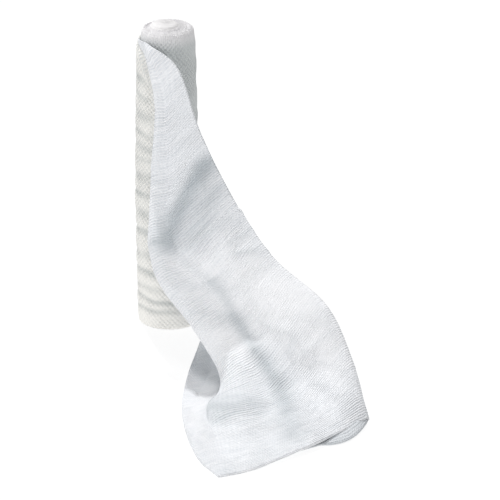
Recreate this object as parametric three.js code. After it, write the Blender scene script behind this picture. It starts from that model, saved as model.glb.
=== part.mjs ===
// A gauze bandage roll that stands on its end, with its loose end pulled off and draped forwards.
// Millimetres, +Z up. The origin is the middle of the roll's base, and -Y is the side with the drape.
import * as THREE from "three";
import { mergeVertices } from "three/addons/utils/BufferGeometryUtils.js";

// Driving dimensions.
const CLOTH_THICKNESS = 1.2; // crinkled gauze, as thick as its crinkles stand
const LAYER_GAP = 0.3; // clear space between the roll and the layer that lies on it
const LAYER_STEP = CLOTH_THICKNESS + LAYER_GAP; // how far the winding grows in its last turn
const LAYER_START = 100; // degrees round the roll, at the back, where the outermost layer begins
const CORNER_ANGLE = 180; // degrees, the left side, where the top edge of the cloth leaves the roll
const CORNER_HEIGHT = 143;
const CREASE_LEAD = 12; // degrees before the crease that shape the way the cloth leaves the roll
const TURN_UNDER_RADIUS = 2.2; // of the fold where the right edge is turned under
const TURN_UNDER_WIDTH = 52; // of the cloth turned under, at the cut end
const TURN_UNDER_CLOSES = 33; // mm in from that fold, where its two layers come together
const TURN_UNDER_STEP = 1.9; // between the middles of those two layers from there on
const DISC_OFFSET = -1.2; // the tight centre of the winding sits a little to the left
const OFFSET_FADES = { from: 6.8, to: 11 }; // radii between which that offset dies out

// Mesh steps.
const ROLL_SIDES = 60;
const STEPS_ALONG = 4; // between two stations
const STEPS_ACROSS = 4; // between two folds
const STEPS_WRAPPED = 16; // round the part that lies on the roll
const STEPS_UNDER = 7; // across the part turned under
const WELD_DISTANCE = 1e-3; // points closer than this are one

// The side of the finished roll from the floor up: a soft, uneven barrel.
const ROLL_SIDE = [
  { z: 0, r: 14.2 },
  { z: 7, r: 14.6 },
  { z: 14, r: 14.8 },
  { z: 24, r: 14.8 },
  { z: 36, r: 15.2 },
  { z: 48, r: 15.1 },
  { z: 60, r: 15.4 },
  { z: 72, r: 15.3 },
  { z: 84, r: 15.4 },
  { z: 96, r: 15.1 },
  { z: 108, r: 15.1 },
  { z: 120, r: 14.7 },
  { z: 132, r: 14.6 },
  { z: 141, r: 14.4 },
  { z: 145.5, r: 14.1 },
  { z: 147.8, r: 13.3 },
];

// The end face, from the shoulder in: a rim, two soft rings, then the raised tight centre.
const END_FACE = [
  { z: 148.6, r: 12.2 },
  { z: 148.5, r: 11.2 },
  { z: 148.1, r: 10.5 },
  { z: 148.6, r: 9.6 },
  { z: 148.2, r: 8.6 },
  { z: 148.5, r: 7.6 },
  { z: 149.2, r: 6.7 },
  { z: 150.6, r: 6.3 },
  { z: 151.1, r: 5.2 },
  { z: 151.3, r: 2.6 },
];
const END_FACE_TOP = 151.35;
const STEP_FADES = { from: 12.5, to: 8.5 }; // radii between which the winding's step dies out

// The folds of the loose end all spread from the corner where it leaves the roll.
// Each fold is a row, and each column is a station on the way from that corner to the hem.
// The crease lies on the roll, so its places are an angle round the roll and a height.
const CREASE = [
  { angle: CORNER_ANGLE, z: CORNER_HEIGHT },
  { angle: 212, z: 136 },
  { angle: 242, z: 122 },
  { angle: 258, z: 102 },
  { angle: 273, z: 82 },
  { angle: 290, z: 62 },
  { angle: 306, z: 42 },
  { angle: 321, z: 21 },
  { angle: 336, z: 0 },
];
// The other folds, in order across the cloth. A height of 0 lies on the floor.
const FOLDS = [
  {
    name: "loop",
    lip: [-12.7, -8.9, 135.9],
    neck: [-6.5, -15, 121.2],
    upper: [-0.6, -16.8, 99.5],
    middle: [5, -18.2, 75],
    low: [10, -17.3, 54],
    lower: [14.4, -14.6, 34.5],
    foot: [17, -10.8, 15.5],
    end: [17.2, -4.8, 0],
  },
  {
    name: "back",
    lip: [-11.9, -9.9, 135.8],
    neck: [-5.7, -16.2, 120.3],
    upper: [3.5, -19.5, 96],
    middle: [10, -22.8, 66],
    low: [17, -24, 45],
    lower: [21, -24, 26],
    foot: [21, -25, 10],
    end: [15.6, -26, 0],
  },
  {
    name: "belly",
    lip: [-11, -11, 135.6],
    neck: [-5.2, -17.2, 119.4],
    upper: [5.4, -22.6, 94],
    middle: [15.2, -31.5, 60],
    low: [27, -39, 36],
    lower: [33, -43, 17],
    foot: [23, -56, 2.5],
    end: [9.6, -71, 0],
  },
  {
    name: "under",
    lip: [-10.2, -12, 135.5],
    neck: [-5.1, -18, 118.6],
    upper: [2.2, -24.2, 87.5],
    middle: [9.5, -38.5, 46],
    low: [25, -56, 22],
    lower: [36, -71, 8.6],
    foot: [15, -99, 0.6],
    end: [7.8, -112, 0],
  },
  {
    name: "heel",
    lip: [-9.5, -12.9, 135.4],
    neck: [-5.2, -18.7, 118],
    upper: [-3.4, -23.7, 82],
    middle: [0.5, -39.3, 42],
    low: [17.5, -62, 21],
    lower: [30.8, -85, 7],
    foot: [19.5, -113, 0.4],
    end: [16, -160, 0],
  },
  {
    name: "contour",
    lip: [-8.9, -13.7, 135.6],
    neck: [-5.4, -19.3, 117.7],
    upper: [-7.3, -24.5, 81.2],
    middle: [-4.7, -41.5, 42],
    low: [11.9, -64, 23.5],
    lower: [25.2, -89, 9.3],
    foot: [22.6, -117.5, 1.9],
    end: [25, -178, 0],
  },
  {
    name: "ridge",
    lip: [-8.7, -14.1, 137],
    neck: [-4.2, -20.3, 119.4],
    upper: [-5.6, -27, 83.6],
    middle: [-2, -45, 45.5],
    low: [17.2, -67, 29.5],
    lower: [31.7, -92, 15.5],
    foot: [36, -113, 7],
    end: [36, -173, 0],
  },
  {
    name: "valley",
    lip: [-8.5, -14.2, 139],
    neck: [-1.8, -20.4, 123.9],
    upper: [1.5, -27.6, 90],
    middle: [4.5, -39, 47.5],
    low: [26, -59, 34.5],
    lower: [40.5, -81, 20],
    foot: [53, -108, 6.2],
    end: [57, -159, 2.1],
  },
  {
    name: "crown",
    lip: [-8.2, -14.3, 141.5],
    neck: [1.2, -22, 130.2],
    upper: [10, -33, 99],
    middle: [21.2, -50, 68.5],
    low: [39, -66.5, 51],
    lower: [58.4, -88, 33.5],
    foot: [70.8, -106, 15],
    end: [77, -139.5, 2.8],
  },
  {
    name: "edge",
    lip: [-7.7, -14, 144],
    neck: [4.5, -22.5, 137.5],
    upper: [17, -34.5, 109],
    middle: [34.3, -50.5, 78.5],
    low: [50.5, -67, 60.3],
    lower: [74.5, -89.5, 45.6],
    foot: [85, -103.5, 25.9],
    end: [93, -120, 5],
  },
];
const STATIONS = ["lip", "neck", "upper", "middle", "low", "lower", "foot", "end"];
const TURN_UNDER_FROM = "middle"; // the station where the right edge starts to turn under

const RADIANS = Math.PI / 180;

// A smooth curve through points, with the given steps between each two.
function smooth(points, steps) {
  const curve = new THREE.CatmullRomCurve3(points, false, "centripetal");
  return curve.getPoints(steps * (points.length - 1));
}

// How much of its last turn the winding has done at an angle, from 0 to 1.
function turnAt(angle) {
  return (angle - LAYER_START) / 360;
}

function around(angle, radius, z) {
  return new THREE.Vector3(
    radius * Math.cos(angle * RADIANS),
    radius * Math.sin(angle * RADIANS),
    z,
  );
}

// Radius of the finished roll at a height.
function rollRadius(z) {
  const above = ROLL_SIDE.findIndex((row) => row.z > z);
  if (above < 1) return ROLL_SIDE[above < 0 ? ROLL_SIDE.length - 1 : 0].r;
  const [low, high] = [ROLL_SIDE[above - 1], ROLL_SIDE[above]];
  return THREE.MathUtils.mapLinear(z, low.z, high.z, low.r, high.r);
}

// The middle of the cloth where it lies on the roll.
function onRoll(angle, z) {
  const clear = LAYER_GAP + CLOTH_THICKNESS / 2;
  return around(angle, rollRadius(z) - LAYER_STEP * (1 - turnAt(angle)) + clear, z);
}

// Moves a point of the loose end off the floor and off the roll, where it would cut them.
function restOnWhatItMeets(point) {
  point.z = Math.max(point.z, CLOTH_THICKNESS / 2);
  const angle = (Math.atan2(point.y, point.x) / RADIANS + 360) % 360;
  const lying = onRoll(angle < LAYER_START ? angle + 360 : angle, point.z);
  const reach = Math.hypot(lying.x, lying.y) / Math.hypot(point.x, point.y);
  if (reach > 1) point.set(point.x * reach, point.y * reach, point.z);
}

// A geometry from a grid of points, with its double points merged and no empty triangles.
function gridGeometry(rows, { closed = false, caps = [] } = {}) {
  const columns = rows[0].length;
  const points = rows.flat().concat(caps);
  const faces = [];
  for (let row = 0; row + 1 < rows.length; row++) {
    for (let column = 0; column < (closed ? columns : columns - 1); column++) {
      const next = (column + 1) % columns;
      const [a, b] = [row * columns + column, row * columns + next];
      faces.push([a, b, b + columns], [a, b + columns, a + columns]);
    }
  }
  const last = (rows.length - 1) * columns;
  if (caps.length) {
    const [floor, top] = [points.length - 2, points.length - 1];
    for (let column = 0; column < columns; column++) {
      const next = (column + 1) % columns;
      faces.push([floor, next, column], [top, last + column, last + next]);
    }
  }
  return mergedGeometry(points, faces);
}

function mergedGeometry(points, faces) {
  const loose = new THREE.BufferGeometry().setFromPoints(points).setIndex(faces.flat());
  const merged = mergeVertices(loose, WELD_DISTANCE);
  const kept = [];
  const index = merged.index.array;
  for (let i = 0; i < index.length; i += 3) {
    const [a, b, c] = index.subarray(i, i + 3);
    if (a !== b && b !== c && c !== a) kept.push(a, b, c);
  }
  merged.setIndex(kept);
  return merged;
}

// The wound roll. Each ring starts and ends at the step that the last turn leaves.
function rollGeometry() {
  const ring = ({ z, r }) => {
    const fade = THREE.MathUtils.smoothstep(r, STEP_FADES.to, STEP_FADES.from);
    const centred = THREE.MathUtils.smoothstep(r, OFFSET_FADES.from, OFFSET_FADES.to);
    return Array.from({ length: ROLL_SIDES + 1 }, (_, side) => {
      const angle = LAYER_START + (360 * side) / ROLL_SIDES;
      const point = around(angle, r - LAYER_STEP * fade * (1 - turnAt(angle)), z);
      return point.setX(point.x + DISC_OFFSET * (1 - centred));
    });
  };
  const rings = ROLL_SIDE.concat(END_FACE).map(ring);
  const caps = [new THREE.Vector3(0, 0, 0), new THREE.Vector3(DISC_OFFSET, 0, END_FACE_TOP)];
  return gridGeometry(rings, { closed: true, caps });
}

// The loose end from the roll's crease to the right edge: one row of points for each step across.
function fan() {
  const corner = onRoll(CORNER_ANGLE, CORNER_HEIGHT);
  const creaseLine = smooth(
    CREASE.map(({ angle, z }) => new THREE.Vector3(angle, z, 0)),
    STEPS_ALONG,
  ).map(({ x, y }) => ({ angle: x, z: Math.max(y, CLOTH_THICKNESS / 2) }));
  const lines = FOLDS.map((fold) => {
    const keys = STATIONS.map((station) => new THREE.Vector3(...fold[station]));
    return smooth([corner, ...keys], STEPS_ALONG);
  });
  // The crease leads in from the roll, so that the cloth leaves it without a kink.
  lines.unshift(creaseLine.map(({ angle, z }) => onRoll(angle, z)));
  lines.unshift(creaseLine.map(({ angle, z }) => onRoll(angle - CREASE_LEAD, z)));
  const sections = lines[0].map((_, step) =>
    smooth(
      lines.map((line) => line[step]),
      STEPS_ACROSS,
    ).slice(STEPS_ACROSS),
  );
  sections[0].forEach((point) => point.copy(corner));
  sections.forEach((section) => section.forEach(restOnWhatItMeets));
  return { creaseLine, sections };
}

// The cloth that is turned under at the right edge, for one section.
function turnedUnder(sections, step) {
  const section = sections[step];
  const from = STEPS_ALONG * (STATIONS.indexOf(TURN_UNDER_FROM) + 1);
  const share = Math.max(0, (step - from) / (sections.length - 1 - from));
  const width = TURN_UNDER_WIDTH * share;
  const edge = section.at(-1);
  if (width === 0) return Array.from({ length: STEPS_UNDER }, () => edge.clone());

  const before = sections[step - 1];
  const after = sections[Math.min(step + 1, sections.length - 1)];
  const normalAt = (i) => {
    const inner = Math.max(i - 1, 0);
    const outer = Math.min(i + 1, section.length - 1);
    const across = section[outer].clone().sub(section[inner]);
    const along = after[i].clone().sub(before[i]);
    return along.cross(across).normalize();
  };
  const arc = Math.PI * TURN_UNDER_RADIUS;
  const outward = edge.clone().sub(section.at(-2)).normalize();
  const upward = normalAt(section.length - 1);
  return Array.from({ length: STEPS_UNDER }, (_, k) => {
    const reach = (width * (k + 1)) / STEPS_UNDER;
    if (reach < arc) {
      const turn = reach / TURN_UNDER_RADIUS;
      return edge
        .clone()
        .addScaledVector(upward, TURN_UNDER_RADIUS * (Math.cos(turn) - 1))
        .addScaledVector(outward, TURN_UNDER_RADIUS * Math.sin(turn));
    }
    let inward = reach - arc;
    const closing = Math.min(1, inward / TURN_UNDER_CLOSES);
    const gap = THREE.MathUtils.lerp(2 * TURN_UNDER_RADIUS, TURN_UNDER_STEP, closing);
    let i = section.length - 1;
    while (i > 1 && inward > section[i].distanceTo(section[i - 1])) {
      inward -= section[i].distanceTo(section[i - 1]);
      i -= 1;
    }
    const part = inward / section[i].distanceTo(section[i - 1]);
    const point = section[i].clone().lerp(section[i - 1], part);
    const lift = normalAt(i).lerp(normalAt(i - 1), part).normalize();
    point.addScaledVector(lift, -gap);
    restOnWhatItMeets(point);
    return point;
  });
}

// A closed sheet of the cloth's thickness on both sides of an open surface.
function thicken(surface) {
  surface.computeVertexNormals();
  const middle = surface.attributes.position;
  const normal = surface.attributes.normal;
  const index = surface.index.array;
  const sheet = [1, -1].flatMap((side) =>
    Array.from({ length: middle.count }, (_, i) =>
      new THREE.Vector3()
        .fromBufferAttribute(middle, i)
        .addScaledVector(
          new THREE.Vector3().fromBufferAttribute(normal, i),
          (side * CLOTH_THICKNESS) / 2,
        ),
    ),
  );
  const faces = [];
  const open = new Map();
  for (let i = 0; i < index.length; i += 3) {
    const corners = [index[i], index[i + 1], index[i + 2]];
    faces.push(corners, corners.map((corner) => corner + middle.count).reverse());
    corners.forEach((a, k) => {
      const b = corners[(k + 1) % 3];
      if (!open.delete(`${b} ${a}`)) open.set(`${a} ${b}`, [a, b]);
    });
  }
  for (const [a, b] of open.values()) {
    const [c, d] = [a + middle.count, b + middle.count];
    faces.push([b, a, c], [b, c, d]);
  }
  return mergedGeometry(sheet, faces);
}

function looseEndGeometry() {
  const { creaseLine, sections } = fan();
  const startAngle = LAYER_START + LAYER_GAP / ROLL_SIDE[0].r / RADIANS;
  const rows = sections.map((section, step) => {
    const { angle, z } = creaseLine[step];
    const wrapped = Array.from({ length: STEPS_WRAPPED }, (_, k) =>
      onRoll(THREE.MathUtils.lerp(startAngle, angle, k / STEPS_WRAPPED), z),
    );
    return [...wrapped, ...section, ...turnedUnder(sections, step)];
  });
  return thicken(gridGeometry(rows));
}

function part(name, geometry, color) {
  geometry.computeVertexNormals();
  const material = new THREE.MeshStandardMaterial({ color, roughness: 0.95, metalness: 0 });
  const mesh = new THREE.Mesh(geometry, material);
  mesh.name = name;
  return mesh;
}

const group = new THREE.Group();
group.add(part("roll", rollGeometry(), 0xe6e5df));
group.add(part("loose_end", looseEndGeometry(), 0xeef1f4));

export default group;
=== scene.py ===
"""The looks of a gauze bandage roll and of its loose end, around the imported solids."""

import math

import bpy
import numpy as np
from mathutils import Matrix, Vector, noise


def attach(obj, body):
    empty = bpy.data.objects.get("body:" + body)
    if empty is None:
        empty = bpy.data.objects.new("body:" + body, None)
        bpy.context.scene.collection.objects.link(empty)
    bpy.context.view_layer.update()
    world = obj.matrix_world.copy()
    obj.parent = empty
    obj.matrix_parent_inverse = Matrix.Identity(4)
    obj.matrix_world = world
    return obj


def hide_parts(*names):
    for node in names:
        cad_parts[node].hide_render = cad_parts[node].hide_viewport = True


bl_info = {
    "name": "Gauze Bandage Roll",
    "version": (1, 0, 0),
    "blender": (4, 5, 0),
    "location": "View3D > Sidebar > Gauze",
    "description": "Models a wound roll of crinkled gauze with its loose end draped forwards",
    "category": "Add Mesh",
}

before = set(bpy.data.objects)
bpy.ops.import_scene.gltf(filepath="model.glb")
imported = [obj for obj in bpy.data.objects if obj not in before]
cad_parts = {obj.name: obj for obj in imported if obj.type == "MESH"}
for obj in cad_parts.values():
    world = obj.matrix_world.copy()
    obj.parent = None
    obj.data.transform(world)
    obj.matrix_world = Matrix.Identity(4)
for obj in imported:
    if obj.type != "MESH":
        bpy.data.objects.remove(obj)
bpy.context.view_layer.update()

MM = 0.001
FULL_TURN = 2 * math.pi

# Radius of the finished roll, in mm, by height.
ROLL_SIDE = [
    (0, 14.2),
    (7, 14.6),
    (14, 14.8),
    (24, 14.8),
    (36, 15.2),
    (48, 15.1),
    (60, 15.4),
    (72, 15.3),
    (84, 15.1),
    (96, 14.8),
    (108, 14.7),
    (120, 14.3),
    (132, 14.2),
    (141, 13.9),
    (145.5, 13.6),
    (147.8, 12.7),
]
# The end face inside the shoulder, from the rim to the raised centre: height and radius.
END_FACE = [
    (148.6, 11.9),
    (148.7, 11.1),
    (148.3, 10.4),
    (148.4, 9.4),
    (148.5, 8.4),
    (148.9, 7.6),
    (149.7, 6.6),
    (150.5, 6.0),
    (151.0, 5.0),
    (151.1, 3.6),
    (151.3, 1.8),
]
STEPS_UP_SIDE = 5  # rings in each stretch of the side
STEPS_IN_FACE = 4  # and in each stretch of the end face
RIM_HEIGHT = 147  # mm, where the side ends and the end face starts
RIM_RADIUS = 14  # mm
HIGHEST = 151.6  # mm, that nothing on the end face passes
ROUND_ROLL = 96  # mm, once round it
DISC_OFFSET = -1.2  # the tight first turns sit a little left of the middle
DISC_RADIUS = 7.3  # of the smooth centre that they make

LAYER_STEP = 1.5  # mm from the roll's skin to the middle of the layer that lies on it
LAYER_START = 100  # degrees round the roll where the loose end begins
LAYER_CLEAR = 0.6  # mm that the layer stands clear, so that its wrinkles don't cut the roll
LAYER_INSET = 0.3  # mm from the step of the winding to the layer's own end
BARE_FROM = 0.66  # share of a turn past the start, where no layer lies on the roll
CREASE_LEAD = 12  # degrees before the crease, where the cloth still lies on the roll
FLOOR_GAP = 0.15  # mm under the drape
FLOOR_GAP_UNDER = 0.1  # and under the cloth that is turned under

# Where the cloth leaves the roll: degrees round it and height.
CREASE = [
    (180, 143),
    (212, 136),
    (242, 122),
    (258, 102),
    (273, 82),
    (290, 62),
    (306, 42),
    (321, 21),
    (336, 0),
]
# The folds of the drape, in order across the cloth, each with its points in mm from the
# corner at the top of the roll down to the lower selvedge or to the cut end.
FOLDS = {
    "loop": [
        (-12.7, -8.9, 135.9),
        (-6.5, -15, 121.2),
        (-0.6, -16.8, 99.5),
        (5, -18.2, 75),
        (10, -17.3, 54),
        (14.4, -14.6, 34.5),
        (17, -10.8, 15.5),
        (17.2, -4.8, 0),
    ],
    "back": [
        (-11.9, -9.9, 135.8),
        (-5.7, -16.2, 120.3),
        (3.5, -19.5, 96),
        (10, -22.8, 66),
        (17, -24, 45),
        (21, -24, 26),
        (21, -25, 10),
        (15.6, -26, 0),
    ],
    "belly": [
        (-11, -11, 135.6),
        (-5.2, -17.2, 119.4),
        (5.4, -22.6, 94),
        (15.2, -31.5, 60),
        (27, -39, 36),
        (33, -43, 17),
        (23, -56, 2.5),
        (9.6, -71, 0),
    ],
    "under": [
        (-10.2, -12, 135.5),
        (-5.1, -18, 118.6),
        (2.2, -24.2, 87.5),
        (9.5, -38.5, 46),
        (25, -56, 22),
        (36, -71, 8.6),
        (15, -99, 0.6),
        (7.8, -112, 0),
    ],
    "heel": [
        (-9.5, -12.9, 135.4),
        (-5.2, -18.7, 118),
        (-3.4, -23.7, 82),
        (-0.4, -39, 41.6),
        (17.5, -62, 21),
        (30.8, -85, 7),
        (19.5, -113, 0.4),
        (16, -160, 0),
    ],
    "contour": [
        (-8.9, -13.7, 135.6),
        (-5.4, -19.3, 117.7),
        (-7.3, -24.5, 81.2),
        (-6.1, -41.5, 42.4),
        (11.9, -64, 23.5),
        (25.2, -89, 9.3),
        (22.6, -117.5, 1.9),
        (25, -178, 0),
    ],
    "ridge": [
        (-8.7, -14.1, 137),
        (-4.2, -20.3, 119.4),
        (-5.6, -27, 83.6),
        (-3, -45.6, 45.9),
        (17.2, -66, 28.9),
        (31.7, -92, 15.5),
        (36, -113, 7),
        (36, -173, 0),
    ],
    "valley": [
        (-8.5, -14.2, 139),
        (-1.8, -20.4, 123.9),
        (1.5, -27.6, 90),
        (6.5, -43, 50.5),
        (29, -62.5, 36.8),
        (42, -84, 20.6),
        (53, -108, 6.2),
        (57, -159, 2.6),
    ],
    "crown": [
        (-8.2, -14.3, 141.5),
        (1.2, -22, 130.2),
        (10, -33, 99),
        (21.2, -50, 68.5),
        (39, -66.5, 51),
        (58.4, -88, 33.5),
        (70.8, -106, 15),
        (77, -139.5, 2.8),
    ],
    "edge": [
        (-7.6, -13.3, 144.2),
        (4.5, -22.5, 137.5),
        (15.8, -34.5, 109),
        (33.6, -50.8, 77.8),
        (48.8, -67.4, 59.3),
        (72.6, -90, 44.4),
        (83, -104, 25.4),
        (92.2, -122, 3.0),
    ],
}

# Steps along the cloth in each stretch from the corner to the hem, and across it in each
# stretch between two folds.
STEPS_ALONG = [10, 12, 16, 20, 20, 20, 20, 34]
STEPS_ACROSS = [6, 12, 20, 20, 22, 16, 12, 18, 22, 22]
STEPS_WRAPPED = 64
STEPS_UNDER = 34
TURN_UNDER_FROM = 4  # the stretch in which the right edge starts to turn under
TURN_UNDER_RADIUS = 2.2  # mm, of the turn where it is widest
TURN_UNDER_PRESSED = 0.45  # share by which the hem presses it flat
TURN_UNDER_WIDTH = 52  # mm of cloth that is turned under at the hem
TURN_UNDER_CLOSES = 33  # mm in from the turn, where the two layers come to lie close
TURN_UNDER_STEP = 1.9  # mm between the layers from there on
TURN_UNDER_FORWARD = 8.0  # mm that the lower layer's cut edge shows in front of the upper one
TURN_UNDER_BACK = 5.0  # mm that it lies behind the upper one farther in
MOUTH_WIDTH = 32  # mm, of the open mouth between the two, at the cut end

HOLLOW_ENDS = 110  # mm along the cloth, where light comes into the hollow at the floor
HOLLOW_SLANTS = 1.5  # mm that this place moves along for each mm up
THREADS_LEAN = 14.0  # mm, of the threads across the strip near the corner
CLOTH_WIDTH = 143.0  # mm, of the flat cloth below the corner
CLOTH_LENGTH = 225.0  # mm, of the flat cloth from the corner to the cut end
ARC_PER_DEGREE = 0.274  # mm of cloth on the roll

# The crinkle of the cloth, broad and fine: its length and width in mm, and its share.
CRINKLE = ((11, 7, 0.65), (4.2, 2.9, 0.5))
WRAP_LIFT = 0.75  # mm that the layer on the roll stands out between its troughs
WRAP_CRINKLE = 0.15  # mm, of its fine crinkle
WRAP_SHADE = 0.72  # share of painted shade in its deepest trough
MOUTH_SHADE = 0.5  # in the open mouth
HOLLOW_SHADE = 0.4  # and in the hollow

# Creases pressed into the drape: start and end on the flat cloth in mm, half width, depth,
# where a trough is negative and a ridge positive, and the share of painted shade that it holds.
CREASES = [
    ((71, 121), (88, 96), 5.4, -3.6, 0.95),
    ((83, 115), (93, 104), 6.5, -1.3, 0.45),
    ((115, 104), (121, 110), 2.6, -1.0, 0.35),
    ((92, 99), (96, 112), 1.4, 0.8, 0.0),
    ((89, 113), (91, 122), 1.3, 0.7, 0.0),
    ((98, 102), (101, 118), 1.5, -0.7, 0.2),
    ((104, 96), (106, 107), 1.8, 0.7, 0.0),
    ((109, 106), (113, 122), 1.6, -0.7, 0.25),
    ((117, 93), (119, 103), 1.9, 0.6, 0.0),
    ((124, 110), (127, 121), 1.6, -0.6, 0.2),
    ((82, 116), (84, 127), 1.7, -0.5, 0.2),
    ((88, 118), (91, 131), 1.4, 0.5, 0.0),
    ((131, 97), (134, 108), 2.0, 0.5, 0.0),
    ((173, 80), (180, 98), 1.9, -0.5, 0.1),
    ((177, 81), (184, 97), 2.2, 0.4, 0.0),
    ((145, 82), (160, 85), 2.2, -0.35, 0.1),
    ((160, 85), (178, 83), 2.0, -0.4, 0.1),
    ((178, 83), (198, 90), 2.2, -0.35, 0.1),
    ((163, 92), (196, 99), 2.4, 0.3, 0.0),
    ((186, 74), (206, 80), 2.4, -0.3, 0.1),
    ((98, 96), (114, 90), 2.2, -0.7, 0.3),
    ((114, 90), (133, 77), 2.8, -0.9, 0.5),
    ((133, 77), (152, 70), 3.8, -0.9, 0.68),
    ((152, 70), (169, 65), 4.6, -1.0, 0.75),
    ((169, 65), (190, 55), 6.0, -0.9, 0.62),
    ((190, 55), (212, 46), 7.0, -0.3, 0.45),
    ((158, 31), (176, 35), 6.0, -2.4, 0.65),
    ((162, 36), (178, 44), 7.0, -1.0, 0.45),
    ((172, 31), (181, 31), 4.0, -1.2, 0.45),
    ((140, 62), (168, 60), 3.0, 0.4, 0.0),
    ((188, 56), (214, 52), 2.6, -0.4, 0.15),
]
# Patches of the drape that are pulled smooth and painted lighter, as painted light: middle on
# the flat cloth, half sizes, and share.
SMOOTH_LIT_PATCHES = [
    (148, 96, 32, 21, 0.95),
    (122, 101, 18, 13, 0.7),
    (106, 93, 14, 7, 0.8),
    (126, 82, 14, 9, 0.8),
    (142, 66, 16, 10, 0.85),
    (180, 90, 24, 15, 0.85),
    (160, 12, 26, 12, 0.6),
]
# Troughs pressed round the layer on the roll: height, half width and depth in mm, and rise for
# each mm round it.
BANDS = [
    (126, 2.2, 0.35, 0.05),
    (117, 1.8, 0.3, -0.04),
    (108, 2.4, 0.5, 0.08),
    (99, 1.6, 0.3, -0.05),
    (92, 2.2, 0.6, -0.03),
    (86, 1.5, 0.45, 0.06),
    (77, 2.4, 0.7, 0.09),
    (68, 1.9, 0.7, -0.05),
    (58, 2.6, 0.85, 0.05),
    (49, 2.2, 0.8, -0.07),
    (38, 2.7, 0.9, 0.07),
    (29, 1.9, 0.75, -0.03),
    (21, 1.7, 0.7, 0.06),
    (15.5, 1.5, 0.6, -0.06),
    (9.5, 1.5, 0.5, 0.03),
]
BANDS_PIVOT = 10  # mm along the cloth, where the bands have these heights
BANDS_DRIFT = 1.6  # mm that they wander up and down
NO_GAP = 1e-4  # mm, below which two points of a curve fall together

# The stage, in metres: where the sun shines from, the two soft lights, and the camera.
KEY_FROM = (-0.28, 0.96, 1.74)
KEY_SPREAD = 1.2  # degrees
FILL_LEFT_AT = (-1.3, -0.85, 0.8)
FILL_FRONT_AT = (0.3, -0.7, 2.05)
PANELS_AIM_AT = (0.03, -0.05, 0.06)
PANEL_SIZE = 0.9  # across
FLOOR_GLOW = 0.86  # a floor that glows shows as plain white
CAMERA_AT = (0.0389, -1.8478, 0.8010)
CAMERA_TILT = 67.5  # degrees up from straight down
FOCAL_PIXELS = 4175.4  # distance of the picture plane, in pixels of a picture
PICTURE_PIXELS = 500  # that is this wide
SENSOR_WIDTH = 36  # mm
VIEW_END = 50  # metres, past which the camera sees nothing


def steps_to(fold):
    """Steps across the cloth from the crease to a fold."""
    return sum(STEPS_ACROSS[: list(FOLDS).index(fold) + 1])


def hex_colour(value):
    """The linear colour of an sRGB hex value."""
    parts = [int(value[i : i + 2], 16) / 255 for i in (1, 3, 5)]
    return tuple(
        p / 12.92 if p <= 0.04045 else ((p + 0.055) / 1.055) ** 2.4 for p in parts
    ) + (1.0,)


def ramp(value, start, end):
    """How far a value, or each of many, has come from start to end, held from 0 to 1."""
    return np.clip((value - start) / (end - start), 0, 1)


def eased(share):
    """A share that leaves 0 and reaches 1 softly."""
    return share * share * (3 - 2 * share)


def smooth(points, steps):
    """A smooth curve through points, with the given number of steps in each stretch."""
    p = np.asarray(points, float)
    p = np.vstack([2 * p[0] - p[1], p, 2 * p[-1] - p[-2]])
    parts = []
    for k, count in enumerate(steps, start=1):
        before, start, end, after = p[k - 1 : k + 3]
        gaps = [
            np.sqrt(np.linalg.norm(b - a))
            for a, b in ((before, start), (start, end), (end, after))
        ]
        # Points that fall together have no gap of their own.
        middle = gaps[1] if gaps[1] > NO_GAP else 1.0
        first = gaps[0] if gaps[0] > NO_GAP else middle
        last = gaps[2] if gaps[2] > NO_GAP else middle
        out = (start - before) / first - (end - before) / (first + middle)
        out = (out + (end - start) / middle) * middle
        into = (end - start) / middle - (after - start) / (middle + last)
        into = (into + (after - end) / last) * middle
        t = np.arange(count)[:, None] / count
        parts.append(
            start
            + out * t
            + (3 * (end - start) - 2 * out - into) * t**2
            + (2 * (start - end) + out + into) * t**3
        )
    return np.vstack(parts + [p[-2:-1]])


def on_roll(angle, z):
    """The middle of the cloth where it lies on the roll."""
    heights, radii = zip(*ROLL_SIDE)
    turn = (np.asarray(angle, float) - LAYER_START) / 360
    radius = np.interp(z, heights, radii) - LAYER_STEP * (1 - turn) + LAYER_CLEAR
    a = np.radians(angle)
    return np.stack([radius * np.cos(a), radius * np.sin(a), np.broadcast_to(z, a.shape)], -1)


def rest(points, lowest):
    """Moves points of the cloth off the floor and off the roll."""
    points[:, 2] = np.maximum(points[:, 2], lowest)
    angle = np.degrees(np.arctan2(points[:, 1], points[:, 0])) % 360
    lying = on_roll(np.where(angle < LAYER_START, angle + 360, angle), points[:, 2])
    reach = np.hypot(lying[:, 0], lying[:, 1]) / np.maximum(
        np.hypot(points[:, 0], points[:, 1]), 1
    )
    points[:, :2] *= np.maximum(reach, 1)[:, None]
    return points


def unit(vectors):
    """The vectors at length 1."""
    length = np.linalg.norm(vectors, axis=-1, keepdims=True)
    return vectors / np.maximum(length, 1e-9)


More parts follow.
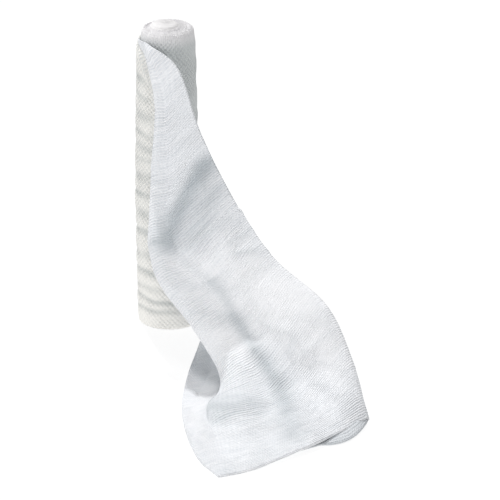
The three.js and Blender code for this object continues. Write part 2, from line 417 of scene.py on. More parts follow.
def turned_under(sections, row):
    """The cloth turned under at the right edge, for one section, with its reach in mm."""
    start = sum(STEPS_ALONG[:TURN_UNDER_FROM])
    last = len(sections) - 1
    share = max(0.0, (row - start) / (last - start))
    width = TURN_UNDER_WIDTH * share
    section = sections[row]
    reach = width * np.arange(1, STEPS_UNDER + 1) / STEPS_UNDER
    if width == 0:
        return np.repeat(section[-1:], STEPS_UNDER, axis=0), reach
    along = sections[min(row + 1, last)] - sections[row - 1]
    across = np.gradient(section, axis=0)
    normals = unit(np.cross(along, across))
    outward = unit(section[-1] - section[-2])
    # The turn opens along the edge, and close to the hem it is pressed flatter again.
    opened = min(1.0, 0.03 + 1.2 * share)
    at_hem = share**6
    radius = TURN_UNDER_RADIUS * opened * (1 - TURN_UNDER_PRESSED * at_hem)
    arc = math.pi * radius
    ahead_of_hem = unit(along * (1, 1, 0))
    lengths = np.linalg.norm(np.diff(section[::-1], axis=0), axis=1)
    travelled = np.concatenate([[0], np.cumsum(lengths)])
    points = []
    for distance in reach:
        ahead = distance / (arc + MOUTH_WIDTH)
        forward = TURN_UNDER_FORWARD * math.sin(math.pi * min(1.0, ahead))
        forward -= TURN_UNDER_BACK * ramp(ahead, 1, 1.5)
        forward *= at_hem
        if distance < arc:
            turn = distance / radius
            points.append(
                section[-1]
                + normals[-1] * radius * (math.cos(turn) - 1)
                + outward * radius * math.sin(turn)
                + ahead_of_hem[-1] * forward
            )
            continue
        inward = distance - arc
        closing = min(1.0, inward / TURN_UNDER_CLOSES)
        gap = 2 * radius + (TURN_UNDER_STEP - 2 * radius) * closing
        point = [np.interp(inward, travelled, section[::-1, k]) for k in range(3)]
        normal = [np.interp(inward, travelled, normals[::-1, k]) for k in range(3)]
        way = [np.interp(inward, travelled, ahead_of_hem[::-1, k]) for k in range(3)]
        points.append(
            np.array(point) - unit(np.array(normal)) * gap + np.array(way) * forward
        )
    return np.array(points), reach


def cloth_surface(lowest):
    """The crease on the roll, and rows of points of the cloth from the crease to its edge."""
    crease = smooth(CREASE, STEPS_ALONG)
    crease[:, 1] = np.maximum(crease[:, 1], lowest)
    corner = on_roll(*CREASE[0])
    lines = [
        on_roll(crease[:, 0] - CREASE_LEAD, crease[:, 1]),
        on_roll(crease[:, 0], crease[:, 1]),
    ]
    lines += [smooth([corner, *keys], STEPS_ALONG) for keys in FOLDS.values()]
    lines = np.array(lines)
    sections = [
        smooth(lines[:, row], [1] + STEPS_ACROSS)[1:] for row in range(lines.shape[1])
    ]
    sections = np.array(sections)
    # The corner of the cut end is sharp, so the last rows bend towards two separate curves.
    corner_line = 2 + list(FOLDS).index("contour")
    across = [STEPS_ACROSS[: corner_line - 1], STEPS_ACROSS[corner_line - 1 :]]
    first = len(sections) - STEPS_ALONG[-1]
    for row in range(first, len(sections)):
        near = (row - first + 1) / STEPS_ALONG[-1]
        below = smooth(lines[1 : corner_line + 1, row], across[0])
        beside = smooth(lines[corner_line:, row], across[1])
        apart = np.vstack([below, beside[1:]])
        sections[row] += (apart - sections[row]) * near**3
    sections = np.array([rest(section, lowest) for section in sections])
    sections[0] = corner
    return crease, sections


def flat_places(crease, sections):
    """Where each point of the sections lies on the flat cloth: along it and across it."""
    steps = np.linalg.norm(np.diff(sections, axis=0), axis=2)
    travelled = np.vstack([np.zeros(sections.shape[1]), np.cumsum(steps, axis=0)])
    share = travelled / travelled[-1]
    hem = steps_to("contour")
    lengths = np.linalg.norm(np.diff(sections[-1], axis=0), axis=1)
    reach = np.concatenate([[0], np.cumsum(lengths)])
    crease_end = (crease[-1, 0] - 180) * ARC_PER_DEGREE
    end_u = np.full(len(reach), CLOTH_LENGTH)
    end_u[:hem] = crease_end + (CLOTH_LENGTH - crease_end) * reach[:hem] / reach[hem]
    end_v = np.maximum(0, reach - reach[hem])
    u = share * end_u
    # The threads across the strip lean up the flap near the corner.
    lean = ramp(reach, reach[hem], reach[-1])
    u -= THREADS_LEAN * lean * (1 - share) ** 1.5 * np.minimum(1, 6 * share)
    v = CLOTH_WIDTH - (CLOTH_WIDTH - end_v) * share
    on_crease = (crease[:, 0] - 180) * ARC_PER_DEGREE
    # Beside the crease the places follow those of the layer on the roll.
    blend = ramp(np.arange(sections.shape[1]), steps_to("belly"), 0) ** 2
    u += (on_crease - u[:, 0])[:, None] * blend
    v += (crease[:, 1] - v[:, 0])[:, None] * blend
    return u, v


def crinkle(u, v, seed):
    """Uneven height of crinkled gauze at a place on the flat cloth, about -1 to 1."""
    height = 0.0
    for step, (length, width, share) in enumerate(CRINKLE):
        height += share * noise.noise(Vector((u / length, v / width, seed + 7 * step)))
    return height


def trough_at(u, v):
    """Depth in mm, and share of the full depth, of the bands round the roll at a place."""
    depth = share = 0.0
    # The bands wander, and they are deep in some places and faint in others.
    drift = BANDS_DRIFT * noise.noise(Vector((u / 9, v / 40, 21)))
    uneven = 0.75 + 0.9 * noise.noise(Vector((u / 12, v / 9, 31)))
    for height, width, full, rise in BANDS:
        away = (v - height - rise * (u - BANDS_PIVOT) - drift) / width
        if abs(away) < 3:
            near = math.exp(-(away**2)) * max(0.15, uneven)
            depth += full * near
            share = max(share, near)
    return depth, min(1.0, share)


def wrinkle_band(u, v, seed):
    """Height of the uneven bands that run round the roll, from 0 to about 1."""
    drift = 2.4 * noise.noise(Vector((u / 17, v / 30, seed)))
    value = noise.noise(Vector((u / 26, (v + drift) / 4.6, seed + 3)))
    return max(0.0, 0.45 + value)


def new_object(name, vertices, faces):
    """A new mesh object in the scene."""
    mesh = bpy.data.meshes.new(name)
    mesh.from_pydata([tuple(v) for v in vertices], [], faces)
    mesh.update()
    piece = bpy.data.objects.new(name, mesh)
    bpy.context.scene.collection.objects.link(piece)
    return piece


def set_attribute(piece, name, values):
    """Stores a share for each vertex, which the gauze material reads by its name."""
    attribute = piece.data.attributes.new(name, "FLOAT", "POINT")
    attribute.data.foreach_set("value", np.asarray(values, np.float32))


def select_only(piece):
    """Makes a piece the one that the edit tools work on."""
    bpy.ops.object.select_all(action="DESELECT")
    bpy.context.view_layer.objects.active = piece
    piece.select_set(True)


def add_node(nodes, name, kind, settings, links):
    """Adds a named node, sets its values, and links outputs given as "node.output" into it."""
    node = nodes.new(kind)
    node.name = name
    for key, value in settings.items():
        if isinstance(key, int) or key in node.inputs:
            node.inputs[key].default_value = value
        else:
            setattr(node, key, value)
    for key, source in links.items():
        source_name, output = source.split(".")
        output = int(output) if output.isdigit() else output
        node.id_data.links.new(nodes[source_name].outputs[output], node.inputs[key])
    return node


def gauze_material(name, settings, light, shade, wound_shade_tint):
    """Bleached cotton gauze, plain woven with open gaps and then crinkled.

    Threads that lie side by side across the strip make fine uneven ribs, and the gaps between
    them make small grey dots. Where the layers lie wound, the dots make a net of diamonds.
    """
    rows = [
        ("place", "ShaderNodeUVMap", {"uv_map": "flat"}, {}),
        # The threads wander a little, so that no line of gaps is straight.
        ("wobble", "ShaderNodeTexNoise", {"Scale": 190.0, "Detail": 2.0}, {0: "place.UV"}),
        (
            "moved",
            "ShaderNodeVectorMath",
            {"operation": "MULTIPLY_ADD", 1: (0.0012, 0.0012, 0)},
            {0: "wobble.Color", 2: "place.UV"},
        ),
        ("axes", "ShaderNodeSeparateXYZ", {}, {0: "moved.0"}),
        (
            "along",
            "ShaderNodeMath",
            {"operation": "MULTIPLY", 1: FULL_TURN / settings.rib_pitch},
            {0: "axes.X"},
        ),
        (
            "across",
            "ShaderNodeMath",
            {"operation": "MULTIPLY", 1: FULL_TURN / settings.dot_pitch},
            {0: "axes.Y"},
        ),
        ("ribs", "ShaderNodeMath", {"operation": "SINE"}, {0: "along.0"}),
        ("half_along", "ShaderNodeMath", {"operation": "MULTIPLY", 1: 0.5}, {0: "along.0"}),
        ("half_ribs", "ShaderNodeMath", {"operation": "SINE"}, {0: "half_along.0"}),
        ("rows", "ShaderNodeMath", {"operation": "SINE"}, {0: "across.0"}),
        ("dots", "ShaderNodeMath", {"operation": "MULTIPLY"}, {0: "half_ribs.0", 1: "rows.0"}),
        # Patches where the ribs stand out, and patches where they nearly vanish.
        ("patches", "ShaderNodeTexNoise", {"Scale": 75.0, "Detail": 1.0}, {0: "place.UV"}),
        (
            "strength",
            "ShaderNodeMapRange",
            {"From Min": 0.35, "From Max": 0.65, "To Min": 0.45, "To Max": 1.3},
            {"Value": "patches.0"},
        ),
        ("patchy", "ShaderNodeMath", {"operation": "MULTIPLY"}, {0: "ribs.0", 1: "strength.0"}),
        # Thick and thin threads: streaks that run across the strip.
        (
            "stretched",
            "ShaderNodeMapping",
            {"Scale": (1.0, 0.13, 1.0)},
            {"Vector": "moved.0"},
        ),
        (
            "streaks",
            "ShaderNodeTexNoise",
            {"Scale": 620.0, "Detail": 2.0, "Roughness": 0.6},
            {0: "stretched.0"},
        ),
        (
            "threads",
            "ShaderNodeMath",
            {"operation": "MULTIPLY_ADD", 1: 3.0, 2: -1.5},
            {0: "streaks.0"},
        ),
        (
            "ribbed",
            "ShaderNodeMath",
            {"operation": "MULTIPLY_ADD", 1: 0.7},
            {0: "patchy.0", 2: "threads.0"},
        ),
        (
            "loose",
            "ShaderNodeMath",
            {"operation": "MULTIPLY_ADD", 1: 0.35},
            {0: "dots.0", 2: "ribbed.0"},
        ),
        # The net of diamonds of the wound layers, wider than one layer's mesh.
        ("wide_u", "ShaderNodeMath", {"operation": "MULTIPLY", 1: 0.47}, {0: "along.0"}),
        ("wide_v", "ShaderNodeMath", {"operation": "MULTIPLY", 1: 0.55}, {0: "across.0"}),
        ("net_u", "ShaderNodeMath", {"operation": "COSINE"}, {0: "wide_u.0"}),
        ("net_v", "ShaderNodeMath", {"operation": "COSINE"}, {0: "wide_v.0"}),
        ("net", "ShaderNodeMath", {"operation": "MULTIPLY"}, {0: "net_v.0", 1: "net_u.0"}),
        ("patchy_net", "ShaderNodeMath", {"operation": "MULTIPLY"}, {0: "net.0", 1: "strength.0"}),
        ("netted", "ShaderNodeMath", {"operation": "MULTIPLY", 1: 2.1}, {0: "patchy_net.0"}),
        ("wound", "ShaderNodeAttribute", {"attribute_name": "wound"}, {}),
        (
            "chosen",
            "ShaderNodeMix",
            {},
            {0: "wound.Fac", 2: "loose.0", 3: "netted.0"},
        ),
        # Fuzz of short fibres.
        (
            "fuzz",
            "ShaderNodeTexNoise",
            {"Scale": 850.0, "Detail": 3.0, "Roughness": 0.7},
            {0: "place.UV"},
        ),
        (
            "fuzzy",
            "ShaderNodeMath",
            {"operation": "MULTIPLY_ADD", 1: 1.4, 2: -0.7},
            {0: "fuzz.0"},
        ),
        ("rough", "ShaderNodeMath", {"operation": "ADD"}, {0: "chosen.0", 1: "fuzzy.0"}),
        # The attribute is 1 where the cloth is pressed smooth, so that its gaps close and its
        # weave fades; there the colour is also painted lighter, as painted light.
        ("pressed", "ShaderNodeAttribute", {"attribute_name": "pressed"}, {}),
        (
            "kept",
            "ShaderNodeMath",
            {"operation": "MULTIPLY_ADD", 1: -0.6, 2: 1.0},
            {0: "pressed.Fac"},
        ),
        ("weave", "ShaderNodeMath", {"operation": "MULTIPLY"}, {0: "rough.0", 1: "kept.0"}),
        (
            # Painted light: where pressed, the colour is painted lighter.
            "closed",
            "ShaderNodeMath",
            {"operation": "MULTIPLY_ADD", 1: 0.34, 2: 0.66},
            {0: "pressed.Fac"},
        ),
        (
            "shade",
            "ShaderNodeMath",
            {"operation": "MULTIPLY_ADD", 1: 0.23, "use_clamp": True},
            {0: "weave.0", 2: "closed.0"},
        ),
        (
            "thread_colour",
            "ShaderNodeMix",
            {"data_type": "RGBA", 6: shade, 7: light},
            {0: "shade.0"},
        ),
        # Painted shade: the wound layers are multiplied by the wound tint, and the troughs, the
        # open mouth and the hollow by a darker grey.
        (
            "wound_colour",
            "ShaderNodeMix",
            {"data_type": "RGBA", "blend_type": "MULTIPLY", 7: wound_shade_tint},
            {0: "wound.Fac", 6: "thread_colour.2"},
        ),
        ("trough", "ShaderNodeAttribute", {"attribute_name": "trough"}, {}),
        (
            "colour",
            "ShaderNodeMix",
            {"data_type": "RGBA", "blend_type": "MULTIPLY", 7: hex_colour("#ccd1d3")},
            {0: "trough.Fac", 6: "wound_colour.2"},
        ),
        (
            "bump",
            "ShaderNodeBump",
            {"Strength": 0.6, "Distance": 0.00032},
            {"Height": "weave.0"},
        ),
        (
            "cotton",
            "ShaderNodeBsdfPrincipled",
            {
                "Roughness": 0.95,
                "IOR": 1.5,
                "Specular IOR Level": 0.15,
                "Sheen Weight": 0.25,
                "Sheen Roughness": 0.6,
            },
            {"Base Color": "colour.2", "Normal": "bump.0"},
        ),
        ("output", "ShaderNodeOutputMaterial", {}, {"Surface": "cotton.0"}),
    ]
    material = bpy.data.materials.new(name)
    material.use_nodes = True
    nodes = material.node_tree.nodes
    nodes.clear()
    for row in rows:
        add_node(nodes, *row)
    return material


class GauzeClothSettings(bpy.types.PropertyGroup):
    thickness: bpy.props.FloatProperty(
        name="Cloth thickness",
        description="Thickness of one crinkled layer",
        default=0.0008,
        unit="LENGTH",
    )
    rib_pitch: bpy.props.FloatProperty(
        name="Rib pitch",
        description="Distance between the ribs that run across the strip",
        default=0.00118,
        unit="LENGTH",
    )
    dot_pitch: bpy.props.FloatProperty(
        name="Gap pitch",
        description="Distance between the rows of gaps that run along the strip",
        default=0.00135,
        unit="LENGTH",
    )
    crinkle_height: bpy.props.FloatProperty(
        name="Crinkle height",
        description="Height of the uneven crinkle of the draped cloth",
        default=0.00022,
        unit="LENGTH",
    )


class GauzeRollSettings(bpy.types.PropertyGroup):
    sides: bpy.props.IntProperty(
        name="Sides", description="Faces round the roll", default=288
    )
    layer_pitch: bpy.props.FloatProperty(
        name="Layer pitch",
        description="Distance between the turns that show on the end face",
        default=0.00105,
        unit="LENGTH",
    )
    ring_height: bpy.props.FloatProperty(
        name="Ring height",
        description="How far the edges of the turns stand up on the end face",
        default=0.0003,
        unit="LENGTH",
    )
    wrinkle_height: bpy.props.FloatProperty(
        name="Wrinkle height",
        description="Height of the bands that run round the roll",
        default=0.00045,
        unit="LENGTH",
    )


class GauzeStageSettings(bpy.types.PropertyGroup):
    floor_size: bpy.props.FloatProperty(
        name="Floor size", description="Side of the pale floor", default=8.0, unit="LENGTH"
    )
    key_energy: bpy.props.FloatProperty(
        name="Key light", description="Strength of the light from behind", default=1.6
    )
    fill_energy: bpy.props.FloatProperty(
        name="Left light", description="Power of the soft light at the left", default=9.2
    )
    front_energy: bpy.props.FloatProperty(
        name="Front light", description="Power of the soft light above the front", default=10.5
    )
    sky_strength: bpy.props.FloatProperty(
        name="Sky", description="Strength of the even light all round", default=0.30
    )


class GAUZE_OT_wound_roll(bpy.types.Operator):
    """Models the wound roll with its wrinkled side, ringed end face and raised centre"""

    bl_idname = "gauze.wound_roll"
    bl_label = "Wound gauze roll"

    def execute(self, context):
        settings = context.scene.gauze_roll
        profile = smooth(
            [(z, r, 0) for z, r in ROLL_SIDE + END_FACE],
            [STEPS_UP_SIDE] * (len(ROLL_SIDE) - 1) + [STEPS_IN_FACE] * len(END_FACE),
        )
        bpy.ops.object.select_all(action="DESELECT")
        bpy.ops.mesh.primitive_circle_add(
            vertices=settings.sides,
            radius=profile[0, 1] * MM,
            fill_type="TRIFAN",
            location=(0, 0, 0),
        )
        roll = context.active_object
        roll.name = roll.data.name = "wound_roll"
        bpy.ops.object.mode_set(mode="EDIT")
        bpy.ops.mesh.select_all(action="DESELECT")
        bpy.ops.object.mode_set(mode="OBJECT")
        # The rim of the base is pulled up ring by ring, and the base stays closed.
        for vertex in roll.data.vertices:
            vertex.select = vertex.co.length > MM / 1000
        for edge in roll.data.edges:
            edge.select = all(roll.data.vertices[i].select for i in edge.vertices)
        bpy.ops.object.mode_set(mode="EDIT")
        bpy.ops.mesh.select_mode(type="EDGE")
        for (z, r, _), (next_z, next_r, _) in zip(profile, profile[1:]):
            bpy.ops.mesh.extrude_region_move(
                TRANSFORM_OT_translate={"value": (0, 0, (next_z - z) * MM)}
            )
            bpy.ops.transform.resize(value=(next_r / r, next_r / r, 1))
        # The centre closes a little above the last ring.
        last_rise = 0.04 * MM
        bpy.ops.mesh.extrude_region_move(TRANSFORM_OT_translate={"value": (0, 0, last_rise)})
        bpy.ops.mesh.merge(type="CENTER")
        bpy.ops.mesh.select_all(action="SELECT")
        bpy.ops.mesh.normals_make_consistent(inside=False)
        bpy.ops.object.mode_set(mode="OBJECT")
        self.wrinkle(roll, settings)
        self.lay_flat(roll, profile)
        x, y, z = (np.array([vertex.co for vertex in roll.data.vertices]) / MM).T
        # The side takes the net of diamonds and the wound tint, which is painted shade; the end
        # face keeps neither.
        set_attribute(roll, "wound", ramp(z, RIM_HEIGHT + 0.6, RIM_HEIGHT - 5.4))
        # The disc in the middle is pressed smooth, and the side is a little; where pressed, the
        # colour is also painted lighter, as painted light.
        disc = ramp(np.hypot(x - DISC_OFFSET, y), DISC_RADIUS, DISC_RADIUS - 0.9)
        disc[z <= RIM_HEIGHT - 7] = 0
        side = 0.4 * ramp(z, RIM_HEIGHT - 1, RIM_HEIGHT - 9)
        set_attribute(roll, "pressed", np.maximum(side, disc))
        bpy.ops.object.shade_smooth()
        # The last colour is the wound tint: painted shade, darker and cooler, on the roll's side.
        roll.data.materials.append(
            gauze_material(
                "Wound bleached cotton gauze",
                context.scene.gauze_cloth,
                hex_colour("#f8f6f6"),
                hex_colour("#dad9de"),
                hex_colour("#dbe1e0"),
            )
        )
        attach(roll, "root")
        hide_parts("roll")
        return {"FINISHED"}

    def wrinkle(self, roll, settings):
        """Winds the rings into a spiral, wrinkles the side and shifts the raised centre."""
        pitch = settings.layer_pitch / MM
        ring_height = settings.ring_height / MM
        wrinkle_height = settings.wrinkle_height / MM
        corner_height = CREASE[0][1]
        for vertex in roll.data.vertices:
            x, y, z = vertex.co / MM
            r = math.hypot(x, y)
            on_axis = r < 1e-3
            if on_axis and z < 1:
                continue
            angle = math.degrees(math.atan2(y, x)) % 360
            turn = ((angle - LAYER_START) % 360) / 360
            around = -LAYER_STEP * eased(ramp(r, 8.5, 12.5)) * (1 - turn)
            lift = 0.0
            if z < RIM_HEIGHT:
                # The wrinkles stay inside the layer that lies on them, and the base stays flat.
                bare = turn > BARE_FROM or z > corner_height
                band = wrinkle_band(turn * ROUND_ROLL, z, 5.0)
                if z > 1:
                    around += (band - 0.9) * wrinkle_height * (1 if bare else 0.3)
            else:
                # The edges of the turns stand up unevenly between the disc and the rim.
                ring = ramp(r, 6.2, 7.0) * ramp(r, 14.2, 12.7)
                fuzzy = 0.6 + 0.8 * noise.noise(Vector((x / 2.2, y / 2.2, 4)))
                lift += ring * fuzzy * ring_height * math.sin((r / pitch - turn) * FULL_TURN)
                lift += ring * 0.35 * noise.noise(Vector((x / 1.1, y / 1.1, 9)))
                lift += 0.12 * noise.noise(Vector((x / 3.5, y / 3.5, 15)))
            shift = DISC_OFFSET * eased(ramp(r, 11, 6.8)) if z > RIM_HEIGHT - 1 else 0
            if not on_axis:
                x *= (r + around) / r
                y *= (r + around) / r
            vertex.co = Vector((x + shift, y, min(z + lift, HIGHEST))) * MM

    def lay_flat(self, roll, profile):
        """Gives the roll its own flat map: round it in mm, and up its profile in mm."""
        lengths = np.linalg.norm(np.diff(profile, axis=0), axis=1)
        path = np.concatenate([[0], np.cumsum(lengths)])
        side = slice(0, STEPS_UP_SIDE * (len(ROLL_SIDE) - 1) + 1)
        layer = roll.data.uv_layers.new(name="flat")
        vertices = roll.data.vertices
        for polygon in roll.data.polygons:
            centre = polygon.center / MM
            middle = math.degrees(math.atan2(centre.y, centre.x)) % 360
            for loop in polygon.loop_indices:
                x, y, z = vertices[roll.data.loops[loop].vertex_index].co / MM
                angle = math.degrees(math.atan2(y, x)) % 360
                # All corners of a face keep to one side of the seam.
                if angle - middle > 180:
                    angle -= 360
                if middle - angle > 180:
                    angle += 360
                if z < RIM_HEIGHT:
                    up = float(np.interp(z, profile[side, 0], path[side]))
                else:
                    up = RIM_HEIGHT + RIM_RADIUS - math.hypot(x, y)
                layer.data[loop].uv = (angle * ARC_PER_DEGREE * MM, up * MM)


class GAUZE_OT_loose_end(bpy.types.Operator):
    """Models the loose end: the last layer on the roll and the folds that it drapes in"""

    bl_idname = "gauze.loose_end"
    bl_label = "Draped loose end"

    def execute(self, context):
        settings = context.scene.gauze_cloth
        half = settings.thickness / MM / 2
        crease, sections = cloth_surface(half + FLOOR_GAP)
        u, v = flat_places(crease, sections)
        start = LAYER_START + math.degrees(LAYER_INSET / ROLL_SIDE[0][1])
        rows = []
        places = []
        for row, section in enumerate(sections):
            angles = np.linspace(start, crease[row, 0], STEPS_WRAPPED + 1)[:-1]
            wrapped = on_roll(angles, crease[row, 1])
            under, reach = turned_under(sections, row)
            rest(under, half + FLOOR_GAP_UNDER)
            rows.append(np.vstack([wrapped, section, under]))
            flat_u = [(angles - 180) * ARC_PER_DEGREE, u[row], np.full(len(reach), u[row, -1])]
            flat_v = [np.full(len(angles), crease[row, 1]), v[row], v[row, -1] + reach]
            places.append(np.stack([np.concatenate(flat_u), np.concatenate(flat_v)], -1))
        points = np.array(rows)
        flat = np.array(places)
        points, trough = self.crinkled(points, flat, settings)
        count, columns = points.shape[:2]
        faces = []
        for row in range(count - 1):
            for column in range(columns - 1):
                a = row * columns + column
                faces.append((a, a + 1, a + 1 + columns, a + columns))
        cloth = new_object("draped_end", points.reshape(-1, 3) * MM, faces)
        layer = cloth.data.uv_layers.new(name="flat")
        spots = flat.reshape(-1, 2) * MM
        for loop in cloth.data.loops:
            layer.data[loop.index].uv = spots[loop.vertex_index]
        self.mark(cloth, flat, trough)
        select_only(cloth)
        bpy.ops.object.mode_set(mode="EDIT")
        bpy.ops.mesh.select_all(action="SELECT")
        bpy.ops.mesh.remove_doubles(threshold=0.005 * MM)
        bpy.ops.mesh.dissolve_degenerate(threshold=0.003 * MM)
        bpy.ops.object.mode_set(mode="OBJECT")
        wall = cloth.modifiers.new("thickness", "SOLIDIFY")
        wall.thickness = settings.thickness
        wall.offset = 0
        bpy.ops.object.modifier_apply(modifier=wall.name)
        bpy.ops.object.shade_smooth()
        # The last colour is the wound tint: a faint warm painted shade on the layer on the roll
        # and on the layers behind the front fold near the top.
        cloth.data.materials.append(
            gauze_material(
                "Loose bleached cotton gauze",
                settings,
                hex_colour("#fdfdff"),
                hex_colour("#c6cdd4"),
                hex_colour("#fdfbf4"),
            )
        )
        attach(cloth, "root")
        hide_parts("loose_end")
        return {"FINISHED"}

    def mark(self, cloth, flat, trough):
        """Marks for the material where the cloth is wound, pressed smooth and painted lighter, and
        where shade is painted on it.
        """
        count, columns = flat.shape[:2]
        row, column = np.indices((count, columns))
        column -= STEPS_WRAPPED
        u, v = flat[..., 0], flat[..., 1]
        # Near the top, the layers between the crease and the front fold are marked as wound too,
        # so that they take its painted shade.
        behind = ramp(column, steps_to("contour"), steps_to("contour") - 8)
        wound = np.maximum(ramp(column, 3, -3), behind * ramp(row, 34, 20))
        set_attribute(cloth, "wound", wound.ravel())
        # The middle of the drape is pulled smooth, and so is the layer on the roll, most at its
        # foot. These places are also painted lighter, as painted light.
        pressed = np.zeros_like(u)
        for u_middle, v_middle, u_half, v_half, share in SMOOTH_LIT_PATCHES:
            away = ((u - u_middle) / u_half) ** 2 + ((v - v_middle) / v_half) ** 2
            pressed = np.maximum(pressed, share * np.exp(-away))
        pressed[row < 30] = 0  # near the corner the weave stays open
        pressed = np.where(column < 0, 0.4 + 0.5 * ramp(v, 50, 10), pressed)
        set_attribute(cloth, "pressed", pressed.ravel())
        # Painted shade inside the open mouth at the cut end.
        mouth = ramp(column, sum(STEPS_ACROSS), sum(STEPS_ACROSS) + 3)
        mouth *= ramp(row, count - 14, count - 6)
        # Painted shade in the hollow under the front fold, which is deep, so that little light
        # comes into it.
        hollow = ramp(column, steps_to("heel"), steps_to("heel") - 10)
        hollow *= ramp(column, 0, 10) * ramp(row, 50, 60)
        hollow *= ramp(u - HOLLOW_SLANTS * v, HOLLOW_ENDS, HOLLOW_ENDS - 8)
        shades = [trough, MOUTH_SHADE * mouth, HOLLOW_SHADE * hollow]
        set_attribute(cloth, "trough", np.max(shades, axis=0).ravel())

    def crinkled(self, points, flat, settings):
        """Moves the cloth by its crinkle, bands and creases, and gives the painted shade in them.
        """
        along = np.gradient(points, axis=0)
        across = np.gradient(points, axis=1)
        normals = unit(np.cross(across, along))
        height = settings.crinkle_height / MM
        edge_column = STEPS_WRAPPED + sum(STEPS_ACROSS)
        shifted = points.copy()
        trough = np.zeros(points.shape[:2])
        for row in range(1, points.shape[0]):
            for column in range(points.shape[1]):
                u, v = flat[row, column]
                if column < STEPS_WRAPPED:
                    fade = min(1, row / 6) * min(1, (STEPS_WRAPPED - column) / 8)
                    outward = np.array([*points[row, column, :2], 0])
                    depth, share = trough_at(u, v)
                    # The layer stays clear of the roll, so the bands stand out between troughs.
                    lift = max(0.0, WRAP_LIFT - depth) + WRAP_CRINKLE * crinkle(u, v, 8.0)
                    if v < 1.2:  # the selvage stays near the roll's foot
                        lift *= 0.3
                    # Painted shade in the troughs of the bands.
                    trough[row, column] = WRAP_SHADE * share * fade
                    shifted[row, column] += unit(outward) * lift * fade
                    continue
                # The selvage is firmer than the cloth beside it, and what is turned under lies
                # nearly flat.
                from_edge = abs(edge_column - column)
                loose = min(1, row / 14) * min(1.0, 0.15 + 0.1 * from_edge)
                if column >= edge_column:
                    loose *= 0.2
                lift = height * crinkle(u, v, 2.0) * loose
                for (u0, v0), (u1, v1), width, depth, shade in CREASES:
                    run = np.array([u1 - u0, v1 - v0])
                    share = np.dot((u - u0, v - v0), run) / np.dot(run, run)
                    held = min(1.0, max(0.0, share))
                    away = math.hypot(u - u0 - held * run[0], v - v0 - held * run[1])
                    if away < 3 * width:
                        near = math.exp(-((away / width) ** 2))
                        lift += depth * near * min(1.0, from_edge / 16)
                        # Painted shade along the crease, as much as its share.
                        trough[row, column] = max(trough[row, column], shade * near)
                shifted[row, column] += normals[row, column] * lift
        return shifted, trough


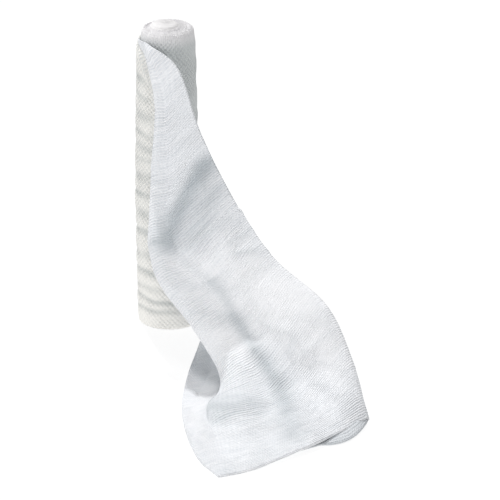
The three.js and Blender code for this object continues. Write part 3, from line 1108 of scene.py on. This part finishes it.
class GAUZE_OT_stage(bpy.types.Operator):
    """Adds the pale floor, the soft studio light and the camera"""

    bl_idname = "gauze.stage"
    bl_label = "Floor, light and camera"

    def execute(self, context):
        settings = context.scene.gauze_stage
        bpy.ops.object.select_all(action="DESELECT")
        bpy.ops.mesh.primitive_plane_add(size=settings.floor_size, location=(0, 0, 0))
        floor = context.active_object
        floor.name = "floor"
        paint = bpy.data.materials.new("Lit white table")
        paint.use_nodes = True
        shader = paint.node_tree.nodes["Principled BSDF"]
        shader.inputs["Base Color"].default_value = hex_colour("#707070")
        shader.inputs["Emission Color"].default_value = hex_colour("#ffffff")
        shader.inputs["Emission Strength"].default_value = FLOOR_GLOW
        shader.inputs["Roughness"].default_value = 0.9
        floor.data.materials.append(paint)

        world = bpy.data.worlds.new("Even white studio")
        world.use_nodes = True
        back = world.node_tree.nodes["Background"]
        back.inputs["Color"].default_value = hex_colour("#fdfeff")
        back.inputs["Strength"].default_value = settings.sky_strength
        context.scene.world = world

        self.sun("key", KEY_FROM, settings.key_energy, KEY_SPREAD)
        self.panel("fill_left", FILL_LEFT_AT, settings.fill_energy)
        self.panel("fill_front", FILL_FRONT_AT, settings.front_energy)

        rotation = (math.radians(CAMERA_TILT), 0, 0)
        bpy.ops.object.camera_add(location=CAMERA_AT, rotation=rotation)
        camera = context.active_object
        camera.data.sensor_width = SENSOR_WIDTH
        camera.data.lens = FOCAL_PIXELS * SENSOR_WIDTH / PICTURE_PIXELS
        camera.data.clip_end = VIEW_END
        context.scene.camera = camera
        context.scene.view_settings.view_transform = "Standard"
        return {"FINISHED"}

    def panel(self, name, place, energy):
        """A soft round light at a place, turned to the object."""
        bpy.ops.object.light_add(type="AREA", location=place)
        lamp = bpy.context.active_object
        lamp.name = name
        lamp.data.shape = "DISK"
        lamp.data.size = PANEL_SIZE
        lamp.data.energy = energy
        towards = Vector(place) - Vector(PANELS_AIM_AT)
        lamp.rotation_euler = towards.to_track_quat("Z", "Y").to_euler()

    def sun(self, name, towards, energy, spread):
        """A sun that shines from the direction towards, with soft edges of spread degrees."""
        bpy.ops.object.light_add(type="SUN", location=(0, 0, 1))
        lamp = bpy.context.active_object
        lamp.name = name
        lamp.data.energy = energy
        lamp.data.angle = math.radians(spread)
        lamp.rotation_euler = Vector(towards).to_track_quat("Z", "Y").to_euler()


class GAUZE_PT_sidebar(bpy.types.Panel):
    """Buttons for the pieces of the gauze bandage"""

    bl_idname = "GAUZE_PT_sidebar"
    bl_label = "Gauze bandage"
    bl_space_type = "VIEW_3D"
    bl_region_type = "UI"
    bl_category = "Gauze"

    def draw(self, context):
        layout = self.layout
        for group in (
            context.scene.gauze_roll,
            context.scene.gauze_cloth,
            context.scene.gauze_stage,
        ):
            for name in group.__annotations__:
                layout.prop(group, name)
        for operator in PIECES:
            layout.operator(operator)


PIECES = ("gauze.wound_roll", "gauze.loose_end", "gauze.stage")
CLASSES = (
    GauzeClothSettings,
    GauzeRollSettings,
    GauzeStageSettings,
    GAUZE_OT_wound_roll,
    GAUZE_OT_loose_end,
    GAUZE_OT_stage,
    GAUZE_PT_sidebar,
)


def register():
    for cls in CLASSES:
        bpy.utils.register_class(cls)
    bpy.types.Scene.gauze_cloth = bpy.props.PointerProperty(type=GauzeClothSettings)
    bpy.types.Scene.gauze_roll = bpy.props.PointerProperty(type=GauzeRollSettings)
    bpy.types.Scene.gauze_stage = bpy.props.PointerProperty(type=GauzeStageSettings)


def unregister():
    del bpy.types.Scene.gauze_stage
    del bpy.types.Scene.gauze_roll
    del bpy.types.Scene.gauze_cloth
    for cls in reversed(CLASSES):
        bpy.utils.unregister_class(cls)


def main():
    register()
    bpy.ops.gauze.wound_roll()
    bpy.ops.gauze.loose_end()
    bpy.ops.gauze.stage()


if __name__ == "__main__":
    main()
